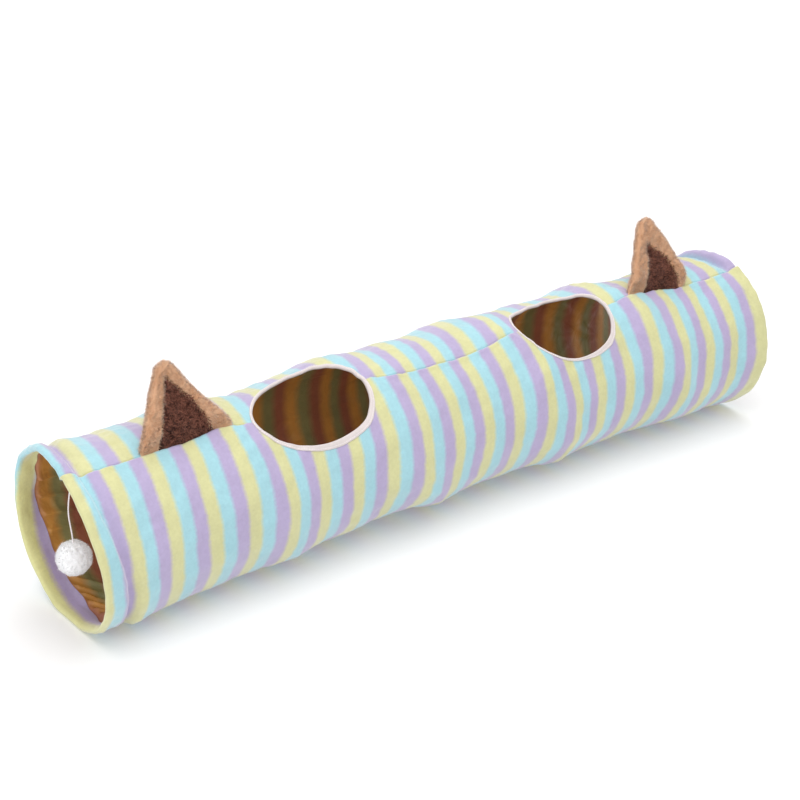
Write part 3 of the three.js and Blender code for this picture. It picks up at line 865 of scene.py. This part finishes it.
def make_string(material, pompom):
    """A twisted string that hangs from the hem."""
    route = string_route()
    steps, sides, waist = STRING["steps"], STRING["sides"], STRING["waist"]
    centres = [a.lerp(b, k / steps) for a, b in zip(route, route[1:]) for k in range(steps)]
    centres.append(route[-1])
    points = []
    for centre in centres:
        twist = 2 * math.pi * (centres[0].z - centre.z) / STRING["pitch"]
        for side in range(sides):
            turn = 2 * math.pi * side / sides
            radius = STRING["radius"] * (waist + (1 - waist) * abs(math.cos(turn - twist)))
            x, y = radius * math.cos(turn), radius * math.sin(turn)
            points.append((centre.x + x, centre.y + y, centre.z))
    faces = grid_faces(len(centres), sides, capped=True)
    piece = on_body(mesh_object("string", points, faces, material), "string", "pompom_string")


# The pompom: a dense ball with clumps, whose heights and sizes are given, locks and wisps

POMPOM_RADIUS = 0.0231
POMPOM_RINGS = 60
POMPOM_CLUMPS = ((0.0004, 0.009, 61), (0.0002, 0.004, 62))
LOCKS = {"count": 9000, "length": 0.0036, "width": 0.0006, "tilt": 1.1}
WISPS = {"count": 3000, "length": 0.0050, "width": 0.00026, "tilt": 0.7}


def make_pompom(material):
    random = np.random.default_rng(7)
    ball = POMPOM_RADIUS - LOCKS["length"] / 2
    polar = math.pi * (np.arange(POMPOM_RINGS) + 0.5) / POMPOM_RINGS
    turn = math.pi * np.arange(2 * POMPOM_RINGS) / POMPOM_RINGS
    out = np.stack([np.sin(polar)[:, None] * np.cos(turn), np.sin(polar)[:, None] * np.sin(turn),
                    np.cos(polar)[:, None] + 0 * turn], -1)
    clumps = sum(height * ripples(out * ball, size, seed) for height, size, seed in POMPOM_CLUMPS)
    points = np.array(POMPOM) + out * (ball + clumps)[..., None]
    faces = grid_faces(POMPOM_RINGS, len(turn), capped=True)
    core = mesh_object("pompom_ball", points.reshape(-1, 3), faces, material)
    on_body(core, "pompom_yarn", "pompom")
    furred = range(len(faces) - 2)
    add_tufts("pompom_locks", core, furred, LOCKS, "pompom_yarn", random)
    add_tufts("pompom_wisps", core, furred, WISPS, "pompom_yarn", random)
    return core


# The tunnel's cloth

HEM_STEPS = 10
ROLL_STEPS = 10
CLOTH_STEPS = 270
# Beside both rims the rows lie closer
CLOTH_FINE = {"steps": 30, "length": 0.050}
CLOTH_COLUMNS, CLOTH_TIGHTNESS, CLOTH_RINGS = 208, 0.75, 12
# The rim's soft roll: its length along X, its thickness and how far the hem is thick behind it
NOSE = 0.0055
ROLL = 0.0090
ROLL_REACH = 0.011
HEM_UNEVEN = (0.0010, 0.05, 21)
# Depth of the turned-in hem round each mouth: degrees and metres
HEM_EDGES = {
    -1: ((100, 0.024), (150, 0.024), (166, 0.0275), (175, 0.0325), (192, 0.0375), (225, 0.0365),
         (250, 0.0330), (277, 0.0270), (300, 0.0235), (350, 0.024)),
    1: ((90, 0.034), (270, 0.034)),
}
# The hem is stretched: metres of flat cloth in each metre of it
HEM_FLAT = 0.80
# The cloth is drawn over the left rim's back: how far, the middle and the reach in degrees, where
# that ends along X, and how much less flat cloth the hem has for each metre drawn over
DRAWN_OVER = {"most": 0.009, "deg": 215.0, "reach": 62.0, "fades": 0.040, "less": 28}
# Underneath, the left hem has less flat cloth too: how much, the middle and the reach
HEM_SCANT = (0.06, 195.0, 28.0)
# The hem's edge stands off the film: how far, and over which share of the hem's depth
HEM_LIP = (0.0012, 0.2)


def hem_edge(side, deg):
    degrees, depths = np.array(HEM_EDGES[side]).T
    turned = np.radians(deg)
    places = np.stack([np.cos(turned), np.sin(turned)], -1) * WAVE_RADIUS
    size, wave, seed = HEM_UNEVEN
    return np.interp(deg, degrees, depths, period=360) + size * ripples(places, wave, seed)


def drawn_over(side, deg):
    off = turn_between(deg, DRAWN_OVER["deg"])
    return (side < 0) * DRAWN_OVER["most"] * bell(off, DRAWN_OVER["reach"])


def rim_rows(grid, side, deg):
    """Rows from the hem's inner edge round the soft roll of the rim to the cloth's outer face."""
    rim, edge, drawn = rim_x(side, deg), hem_edge(side, deg), drawn_over(side, deg)
    scant = (side < 0) * HEM_SCANT[0] * bell(turn_between(deg, HEM_SCANT[1]), HEM_SCANT[2])
    flat = HEM_FLAT - DRAWN_OVER["less"] * drawn - scant
    radius = ROLL / 2
    section = []
    for share in np.arange(HEM_STEPS) / HEM_STEPS:
        inwards = edge + (NOSE - edge) * share
        depth = HEM + (ROLL - HEM) * bell(inwards - NOSE, ROLL_REACH)
        depth = depth - HEM_LIP[0] * bell(share, HEM_LIP[1])
        section.append((inwards, depth, math.pi * radius + inwards - NOSE))
    for angle in math.pi * np.arange(ROLL_STEPS + 1) / ROLL_STEPS:
        depth = radius + radius * math.cos(angle)
        section.append((NOSE - NOSE * math.sin(angle), depth, radius * (math.pi - angle)))
    rows = []
    for inwards, depth, past in section:
        along = rim - side * (NOSE - flat * past) - drawn
        rows.append(grid.add_row(rim - side * inwards, depth, along))
    return rows


def make_cloth(material):
    grid = TubeGrid(CLOTH_COLUMNS, CLOTH_TIGHTNESS, 0.0)
    left_deg, right_deg = grid.mouths
    left_rows = rim_rows(grid, -1, left_deg)
    left, right = rim_x(-1, left_deg) + NOSE, rim_x(1, right_deg) - NOSE
    middle = []
    fine, length = CLOTH_FINE["steps"], CLOTH_FINE["length"]
    steps = CLOTH_STEPS + 2 * fine
    for k in range(1, steps):
        ends = min(k / fine, 1) + 1 - min((steps - k) / fine, 1)
        share = min(max(k - fine, 0) / CLOTH_STEPS, 1)
        x = left + length * ends + (right - left - 2 * length) * share
        drawn = drawn_over(-1, left_deg) * (1 - ease((x - left) / DRAWN_OVER["fades"]))
        middle.append(grid.add_row(x, 0.0, x - drawn))
    right_rows = rim_rows(grid, 1, right_deg)[::-1]
    among = range(len(left_rows), len(left_rows) + len(middle))
    grid.join(left_rows + middle + right_rows, among, CLOTH_RINGS)
    piece = grid.build("tunnel_plush", material, cloth_point)
    return on_body(piece, "striped_plush", "tunnel_cloth")


# The lining

FILM_DEPTH = 0.0022
FILM_STEPS = 165
FILM_COLUMNS, FILM_TIGHTNESS, FILM_RINGS = 360, 0.0, 8
# Beside the left hem the rows lie closer
FILM_FINE = {"steps": 44, "length": 0.066}
# How far the film goes on under the hems, and over which distance beside them its folds grow
FILM_TUCKED = 0.004
FILM_FLAT_BESIDE = 0.020
FILM_FOLDS = ((0.0016, 0.060, 31), (0.0005, 0.022, 33))
# Gathers beside the left hem: degrees, how they turn along X, half width, height and length.
# They rise over GATHER_RISE and fade from two thirds of their length on
GATHER_RISE = 0.006
FILM_GATHERS = (
    (287, -120, 1.8, 0.0058, 0.050), (271, -100, 1.6, 0.0052, 0.050), (258, -80, 2.4, 0.0080, 0.062),
    (246, -60, 1.6, 0.0040, 0.045), (216, -450, 1.7, 0.0066, 0.060), (207, -520, 1.5, 0.0056, 0.060),
    (199, -540, 1.4, 0.0050, 0.050), (190, -540, 1.5, 0.0058, 0.052), (180, -520, 1.4, 0.0050, 0.045),
    (171, -500, 1.4, 0.0038, 0.040),
)


def film_point(x, deg, depth):
    """The film hangs a little off the cloth in soft folds, which end at the hems."""
    loose = 0.0
    for size, wave, seed in FILM_FOLDS:
        waves = ripples(round_tunnel(x, deg), wave, seed)
        loose = loose + size * np.clip(1 - np.abs(waves), 0, 1)
    from_left = x - rim_x(-1, deg) - hem_edge(-1, deg)
    from_hems = np.minimum(from_left, rim_x(1, deg) - x - hem_edge(1, deg))
    loose = loose * ease(from_hems / FILM_FLAT_BESIDE)
    for at_deg, turning, half, height, length in FILM_GATHERS:
        off = turn_between(deg, at_deg + turning * from_left)
        fading = ease(from_left / GATHER_RISE) * ease(2 - from_left / length * 1.5)
        loose = loose + height * bell(off, half) * fading
    return cloth_point(x, deg, depth + loose)


def make_lining(material):
    grid = TubeGrid(FILM_COLUMNS, FILM_TIGHTNESS, FILM_DEPTH)
    left_deg, right_deg = grid.mouths
    left = rim_x(-1, left_deg) + hem_edge(-1, left_deg) - FILM_TUCKED
    right = rim_x(1, right_deg) - hem_edge(1, right_deg) + FILM_TUCKED
    fine, length = FILM_FINE["steps"], FILM_FINE["length"]
    rows = []
    for k in range(fine + FILM_STEPS + 1):
        share = max(k - fine, 0) / FILM_STEPS
        x = left + length * min(k / fine, 1) + (right - left - length) * share
        rows.append(grid.add_row(x, FILM_DEPTH, x))
    grid.join(rows, range(len(rows)), FILM_RINGS)
    piece = grid.build("tunnel_film", material, film_point)
    return on_body(piece, "lining_film", "tunnel_lining")


# The bindings

BINDING = {"thickness": 0.0008, "lift": 0.0005, "steps": 560, "clear": 0.0006}
STITCH = {"inset": 0.70, "seat": 0.9, "pitch": 0.0036, "length": 0.0024, "radius": 0.00026,
          "bow": 1.6, "sunk": 0.5, "segments": 4, "sides": 5, "places": 2400}
# The thread's own directions are taken between places this far above it and this far along it
STITCH_ABOVE, STITCH_AHEAD = 0.001, 3
# Section of the tape on the cloth: shares of its width and of its height, from the outer edge
TAPE_OUTSIDE = ((1.0, -0.1), (1.04, 0.5), (0.95, 0.95), (0.80, 1.0), (0.70, 0.90), (0.60, 1.0), (0.25, 1.05))
# Round the hole's edge: metres over the edge and shares of the depth of the film
TAPE_ROUND = ((0.0003, -0.42), (-0.0006, -0.15), (-0.0009, 0.4), (-0.0006, 0.95), (0.0006, 1.12))
# And under the film: metres from the hole's edge and below the film
TAPE_UNDER = ((0.0031, 0.0006), (0.0062, 0.0005), (0.0064, -0.0002))
# Puckers between the stitches, and soft unevenness: height, wave and seed
TAPE_PUCKER = 0.00008
TAPE_SOFT = (0.00010, 0.012, 41)
EDGE_STEP = 0.01


def beside_edge(hole, count, across):
    """Places as x and degrees at a distance outside a hole's edge, all round it."""
    base, far = hole_outline(hole, count), hole_outline(hole, count, EDGE_STEP)
    step = across / EDGE_STEP
    return [near + (out - near) * step for near, out in zip(base, far)]


def tape_line(hole, share, count):
    """Places on the cloth at one share of the tape's uneven width, all round the hole."""
    x, deg = hole_outline(hole, count)
    centre_x, centre_deg = hole["centre"]
    angle = np.degrees(np.arctan2((deg - centre_deg) * ARC, x - centre_x)) % 360
    angles, widths = np.array(hole["tape"]).T
    return beside_edge(hole, count, share * np.interp(angle, angles, widths, period=360))


def make_binding(side, hole, material):
    steps = BINDING["steps"]
    height = BINDING["lift"] + BINDING["thickness"]
    low = FILM_DEPTH + BINDING["clear"]
    places = [(*tape_line(hole, share, steps), -height * lift) for share, lift in TAPE_OUTSIDE]
    inside = [(across, low * depth) for across, depth in TAPE_ROUND]
    inside += [(across, low + depth) for across, depth in TAPE_UNDER]
    places += [(*beside_edge(hole, steps, across), depth) for across, depth in inside]
    edge_x, edge_deg = hole_outline(hole, steps)
    size, wave, seed = TAPE_SOFT
    uneven = size * ripples(np.stack([edge_x, edge_deg * ARC], -1), wave, seed)
    uneven = uneven + TAPE_PUCKER * np.sin(math.pi / 2 * np.arange(steps))
    points = [cloth_point(x, deg, depth + uneven, 0.0) for x, deg, depth in places]
    points = np.stack(points, 1).reshape(-1, 3)
    faces = grid_faces(steps, len(places), flipped=True, looped=True)
    piece = mesh_object(f"binding_{side}", points, faces, material)
    return on_body(piece, "binding_tape", f"hole_binding_{side}")


def make_stitches(side, hole, material):
    """One line of thread along the tape, a short bow for each stitch."""
    dense, segments, sides = (STITCH[key] for key in ("places", "segments", "sides"))
    x, deg = tape_line(hole, STITCH["inset"], dense)
    top = -BINDING["lift"] - STITCH["seat"] * BINDING["thickness"]
    line, outer = cloth_point(x, deg, top, 0.0), cloth_point(x, deg, top - STITCH_ABOVE, 0.0)
    along = np.concatenate([[0], np.cumsum(np.linalg.norm(np.diff(line, axis=0), axis=1))])
    share = np.arange(segments + 1) / segments
    starts = STITCH["pitch"] * np.arange(int(along[-1] / STITCH["pitch"]))
    spots = np.searchsorted(along, starts[:, None] + share * STITCH["length"])
    centre = line[spots]
    up, ahead = unit(outer[spots] - centre), unit(line[(spots + STITCH_AHEAD) % dense] - centre)
    rise = STITCH["bow"] * np.sin(math.pi * share) - STITCH["sunk"]
    turn = 2 * math.pi * np.arange(sides)[:, None] / sides
    ring = np.cos(turn) * np.cross(ahead, up)[..., None, :] + np.sin(turn) * up[..., None, :]
    thread = STITCH["radius"] * (ring + (up * rise[:, None])[..., None, :])
    points = (centre[..., None, :] + thread).reshape(-1, 3)
    faces = []
    for start in range(0, len(points), (segments + 1) * sides):
        faces += grid_faces(segments + 1, sides, start, flipped=True, capped=True)
    piece = mesh_object(f"stitches_{side}", points, faces, material)
    return on_body(piece, "binding_tape")


# The ears

EARS = {
    "left": {
        "seed": 50,
        "base": (-0.424, -0.0494, 0.2348),
        "along": (1.0, 0.014, 0.017),
        "up": (-0.021, 0.327, 0.945),
        "outline": np.array((
            (-0.010, -0.0745, 0.0750), (0.000, -0.0722, 0.0705), (0.010, -0.0695, 0.0645),
            (0.0245, -0.0640, 0.0535), (0.037, -0.0590, 0.0435), (0.048, -0.0530, 0.0348),
            (0.0605, -0.0468, 0.0258), (0.074, -0.0402, 0.0170), (0.0885, -0.0322, 0.0085),
            (0.099, -0.0256, 0.0026), (0.105, -0.0210, -0.0005), (0.109, -0.0165, -0.0035))),
        "panel": np.array((
            (-0.010, -0.0465, 0.0430), (0.000, -0.0442, 0.0400), (0.016, -0.0405, 0.0330),
            (0.030, -0.0366, 0.0268), (0.040, -0.0340, 0.0213), (0.0525, -0.0296, 0.0143),
            (0.0625, -0.0258, 0.0058), (0.072, -0.0222, -0.0023), (0.0815, -0.0200, -0.0100),
            (0.091, -0.0168, -0.0143))),
    },
    "right": {
        "seed": 60,
        "base": (0.435, -0.0384, 0.239),
        "along": (0.994, -0.075, -0.075),
        "up": (0.1, 0.427, 0.899),
        "outline": np.array((
            (-0.010, -0.0680, 0.0550), (0.000, -0.0655, 0.0560), (0.010, -0.0615, 0.0580),
            (0.0265, -0.0525, 0.0518), (0.037, -0.0485, 0.0465), (0.048, -0.0440, 0.0400),
            (0.073, -0.0340, 0.0285), (0.088, -0.0272, 0.0185), (0.100, -0.0212, 0.0098),
            (0.108, -0.0150, 0.0065), (0.1125, -0.0070, 0.0035))),
        "panel": np.array((
            (-0.010, -0.0300, 0.0455), (0.000, -0.0278, 0.0430), (0.0105, -0.0255, 0.0400),
            (0.021, -0.0232, 0.0350), (0.032, -0.0212, 0.0285), (0.0415, -0.0198, 0.0215),
            (0.051, -0.0180, 0.0135), (0.060, -0.0180, 0.0025), (0.067, -0.0160, -0.0062),
            (0.0735, -0.0140, -0.0108))),
    },
}
# How far an ear's sides curl forwards, and the height of its lowest row
EAR_CURL = 0.009
EAR_LOW = -0.003
EAR_ROWS, EAR_SPACING = 84, 0.9
EAR_COLUMNS = 120
EAR_THIN, EAR_HALF, EAR_FILLED = 0.0016, 0.0065, 0.022
EAR_EDGE = 0.0055
EAR_ROUNDED, EAR_TIP_LEAST = 0.005, 0.002
# Unevenness: heights, wave lengths and what is added to the seed. It grows above the foot
EAR_PUFF = ((0.0008, 0.030, 0), (0.0004, 0.011, 1))
EAR_BACK = (0.0010, 0.035, 2)
EAR_PUFF_GROWS = 0.010
# How much smaller the ear is than its outline, which its hairs fill
FUR = 0.0020
TAN_TUFTS = {"count": 26000, "length": 0.0052, "width": 0.0005, "tilt": 0.9}
TAN_WISPS = {"count": 6000, "length": 0.0080, "width": 0.00026, "tilt": 0.7}
TAN_TONE = 0.5
# Hairs stand above this height and outside this share of the panel
TAN_FROM, TAN_BESIDE_PANEL = 0.003, 0.7
# The panel is sunk over soft edges at its left, its right and its tip
PANEL_SUNK = 0.0040
PANEL_SIDE, PANEL_SLOPE = 0.0024, 0.0060
# It lies on the sunken front, apart from its border, which goes into it
PANEL_LIFT, PANEL_DIPS, PANEL_BORDER = 0.0012, 0.0024, 0.003
PANEL_LIFT_GROWS = 0.008
PANEL_BEYOND = {"left": 0.001, "width": 0.003, "tip": 0.002}
PANEL_ROWS, PANEL_COLUMNS = 60, 50
BROWN_TUFTS = {"count": 5200, "length": 0.0068, "width": 0.0011, "tilt": 1.2}
BROWN_TONE = 0.1
# The panel has no hairs this near to its foot and its tip, and on this many columns at its sides
BROWN_ENDS, BROWN_SIDES = 0.001, 2
SEWN_IN = {"behind_seam": 0.0012, "depth": 0.0015, "reach": 0.030}


def ear_sides(rows, height):
    """Left and right of an outline at some heights."""
    height = np.clip(height, rows[0, 0], rows[-1, 0])
    return through_knots(rows[:, 0], rows[:, 1], height), through_knots(rows[:, 0], rows[:, 2], height)


def ear_placer(ear):
    """Turns places across an ear, up it and in front of it into points. Its foot is in the seam."""
    base, along, up = np.array(ear["base"]), unit(np.array(ear["along"])), unit(np.array(ear["up"]))
    front = unit(np.cross(along, up))
    reach = (ear["outline"][0][2] - ear["outline"][0][1]) / 2

    def place(across, height, depth):
        bow = EAR_CURL * (across / reach) ** 2
        foot = base + across[..., None] * along + bow[..., None] * front
        foot_x = foot[..., 0]
        sewn_deg = seam_deg(foot_x) - SEWN_IN["behind_seam"] / ARC
        sewn = cloth_point(foot_x, sewn_deg, SEWN_IN["depth"])
        held = 1 - ease(height / SEWN_IN["reach"])
        free = foot + height[..., None] * up + depth[..., None] * front
        return free + held[..., None] * (sewn - foot)
    return place


def ear_half(height):
    """Half of an ear's thickness: thin in the seam and filled above it."""
    return EAR_THIN + (EAR_HALF - EAR_THIN) * ease(height / EAR_FILLED)


def panel_share(ear, across, height):
    """1 on the dark panel in an ear's front and 0 beside it."""
    left, right = ear_sides(ear["panel"], height)
    past_left, past_right = (across - left) / PANEL_SIDE, (right - across) / PANEL_SLOPE
    past_tip = (ear["panel"][-1][0] - height) / PANEL_SLOPE
    return ease(past_left / 2 + 0.5) * ease(past_right / 2 + 0.5) * ease(past_tip / 2 + 0.5)


def ear_front(ear, across, height, seed):
    """Depth of an ear's front: padded borders round a sunken panel."""
    places = np.stack([across, height], -1)
    puff = sum(size * ripples(places, wave, seed + more) for size, wave, more in EAR_PUFF)
    sunk = PANEL_SUNK * panel_share(ear, across, height) * ease(height / EAR_FILLED)
    return ear_half(height) - sunk + puff * ease(height / EAR_PUFF_GROWS)


def make_ear_body(side, ear, place, material, seed, random):
    """The padded body of an ear with hairs all over, apart from the panel."""
    tip = ear["outline"][-1][0] - FUR
    heights = EAR_LOW + (tip - EAR_LOW) * np.linspace(0, 1, EAR_ROWS) ** EAR_SPACING
    left, right = ear_sides(ear["outline"], heights)
    rounded = np.clip((tip - heights) / EAR_ROUNDED, EAR_TIP_LEAST, 1) ** 0.5
    centre, half = (left + right) / 2, ((right - left) / 2 - FUR) * rounded
    turn = 2 * math.pi * np.arange(EAR_COLUMNS) / EAR_COLUMNS
    across = centre[:, None] + half[:, None] * np.cos(turn)
    height = np.repeat(heights[:, None], EAR_COLUMNS, 1)
    from_edge = half[:, None] - np.abs(across - centre[:, None])
    edge = np.minimum(EAR_EDGE, half)[:, None]
    fullness = np.sqrt(1 - (1 - np.clip(from_edge / edge, 0, 1)) ** 2) * np.minimum(rounded, 1)[:, None]
    size, wave, more = EAR_BACK
    back = ear_half(height) + size * ripples(np.stack([across, height], -1), wave, seed + more)
    is_front = np.sin(turn) >= 0
    depth = np.where(is_front, ear_front(ear, across, height, seed), -back) * fullness
    points = place(across, height, depth).reshape(-1, 3)
    faces = grid_faces(EAR_ROWS, EAR_COLUMNS, capped=True)
    body = mesh_object(f"ear_{side}", points, faces, material)
    on_body(body, "ear_plush", f"ear_{side}_outer")
    set_attribute(body, "tone", "POINT", np.full(len(points), TAN_TONE))
    bare = is_front & (panel_share(ear, across, height) > TAN_BESIDE_PANEL)
    furred = np.flatnonzero((~bare & (heights > TAN_FROM)[:, None])[:-1])
    add_tufts(f"ear_{side}_tufts", body, furred, TAN_TUFTS, "ear_plush", random)
    add_tufts(f"ear_{side}_wisps", body, furred, TAN_WISPS, "ear_plush", random)


def make_ear_panel(side, ear, place, material, seed, random):
    """The dark panel in an ear's front, with longer hairs."""
    tip = ear["panel"][-1][0]
    end = tip + PANEL_BEYOND["tip"]
    heights = np.linspace(0.0, end, PANEL_ROWS)
    left, right = ear_sides(ear["panel"], heights)
    share = np.linspace(0, 1, PANEL_COLUMNS)
    width = (right - left + PANEL_BEYOND["width"])[:, None]
    across = left[:, None] - PANEL_BEYOND["left"] + width * share
    height = np.repeat(heights[:, None], PANEL_COLUMNS, 1)
    beside = np.minimum(across - across[:, :1], across[:, -1:] - across)
    beside = np.minimum(beside, end - height)
    lift = PANEL_LIFT - PANEL_DIPS * (1 - ease(beside / PANEL_BORDER))
    depth = ear_front(ear, across, height, seed) + lift * ease(height / PANEL_LIFT_GROWS)
    points = place(across, height, depth).reshape(-1, 3)
    faces = grid_faces(PANEL_ROWS, PANEL_COLUMNS, closed=False, flipped=True)
    panel = mesh_object(f"ear_{side}_panel", points, faces, material)
    on_body(panel, "ear_inner_plush", f"ear_{side}_inner")
    set_attribute(panel, "tone", "POINT", np.full(len(points), BROWN_TONE))
    furred = np.zeros((PANEL_ROWS - 1, PANEL_COLUMNS - 1), bool)
    haired = (heights > BROWN_ENDS) & (heights < tip - BROWN_ENDS)
    furred[:, BROWN_SIDES:-BROWN_SIDES] = haired[:-1, None]
    furred = np.flatnonzero(furred)
    add_tufts(f"ear_{side}_panel_tufts", panel, furred, BROWN_TUFTS, "ear_inner_plush", random)


def make_all():
    make_camera()
    make_light()
    make_floor()
    # Each glow is a painted glow that stands in for light scattering in the yarn, the string or the hairs
    yarn = cotton_material("pompom_yarn", srgb(239, 239, 240), sheen=0.3, glow=0.29, cloud=0.003,
                           grain=0.0007, relief=0.3)
    thread = cotton_material("string", srgb(244, 238, 240), sheen=0.3, glow=0.10, cloud=0.003,
                             grain=0.0007, relief=0.3)
    tape = cotton_material("binding_tape", srgb(210, 200, 198), sheen=0.1, glow=0.0, cloud=0.004,
                           grain=0.0008, relief=0.4)
    tan = fur_material("ear_plush", srgb(204, 148, 106), srgb(247, 208, 172), cloud=0.014,
                       sheen=0.8, glow=0.08)
    brown = fur_material("ear_inner_plush", srgb(54, 23, 18), srgb(160, 105, 86), cloud=0.011,
                         sheen=0.2, glow=0.03)
    make_string(thread, make_pompom(yarn))
    make_cloth(plush_material())
    make_lining(film_material())
    for side, hole in HOLES.items():
        make_binding(side, hole, tape)
        make_stitches(side, hole, thread)
    for side, ear in EARS.items():
        random = np.random.default_rng(ear["seed"])
        place = ear_placer(ear)
        make_ear_body(side, ear, place, tan, ear["seed"], random)
        make_ear_panel(side, ear, place, brown, ear["seed"], random)


make_all()
